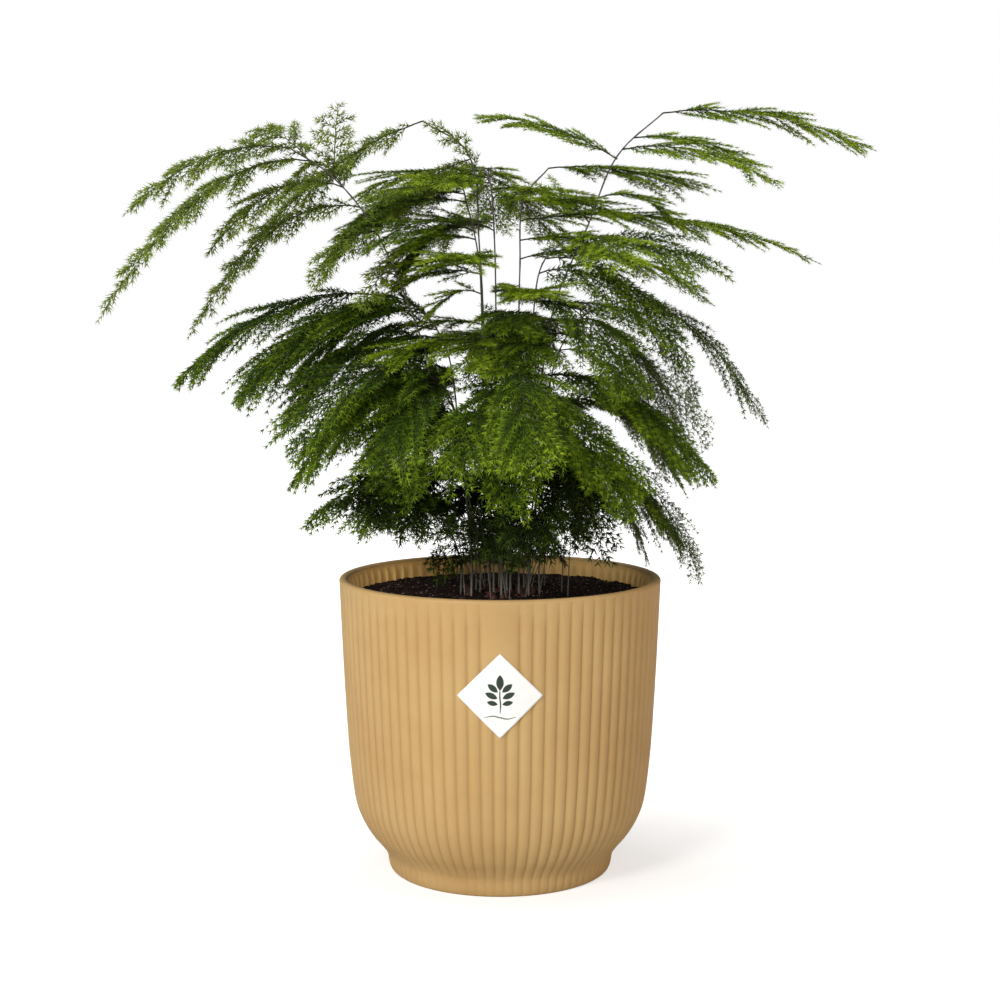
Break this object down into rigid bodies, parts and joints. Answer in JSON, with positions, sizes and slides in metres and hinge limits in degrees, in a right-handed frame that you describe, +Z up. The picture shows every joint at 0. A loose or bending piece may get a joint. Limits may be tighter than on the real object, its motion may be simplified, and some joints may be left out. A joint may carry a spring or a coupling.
{
  "type": "potted asparagus fern",
  "caption": "Feathery asparagus fern with thin arching stems and flat plumes of needle leaves, rooted in soil in a round ribbed plastic pot, for indoor decoration.",
  "frame": {"origin": "centre of the pot's underside, on the surface that the pot stands on", "axes": "+Z up along the pot's axis, -Y the front where the label is, +X to the right seen from the front"},
  "size_m": [0.3131, 0.225, 0.333],
  "materials": {
    "pot": "matte",
    "label": "satin",
    "soil": "matte",
    "crown": "matte",
    "stems": "satin",
    "plumes": "matte"
  },
  "bodies": {
    "root": {"pot": "pot", "label": "label", "soil": "soil", "crown": "crown", "stem_01": "stems", "stem_02": "stems", "stem_03": "stems", "stem_04": "stems", "stem_05": "stems", "stem_06": "stems", "stem_07": "stems", "stem_08": "stems", "stem_09": "stems", "stem_10": "stems", "stem_11": "stems", "stem_12": "stems", "stem_13": "stems", "stem_14": "stems", "stem_15": "stems", "stem_16": "stems", "stem_17": "stems", "plume_01a": "plumes", "plume_01b": "plumes", "plume_01c": "plumes", "plume_01d": "plumes", "plume_01e": "plumes", "plume_02a": "plumes", "plume_02b": "plumes", "plume_03a": "plumes", "plume_03b": "plumes", "plume_04a": "plumes", "plume_04b": "plumes", "plume_04c": "plumes", "plume_05a": "plumes", "plume_05b": "plumes", "plume_06a": "plumes", "plume_06b": "plumes", "plume_07a": "plumes", "plume_07b": "plumes", "plume_07c": "plumes", "plume_08a": "plumes", "plume_08b": "plumes", "plume_08c": "plumes", "plume_09a": "plumes", "plume_09b": "plumes", "plume_09c": "plumes", "plume_10a": "plumes", "plume_10b": "plumes", "plume_10c": "plumes", "plume_11a": "plumes", "plume_11b": "plumes", "plume_12a": "plumes", "plume_12b": "plumes", "plume_13a": "plumes", "plume_13b": "plumes", "plume_14a": "plumes", "plume_15a": "plumes", "plume_16a": "plumes", "plume_16b": "plumes", "plume_17a": "plumes"}
  },
  "joints": []
}
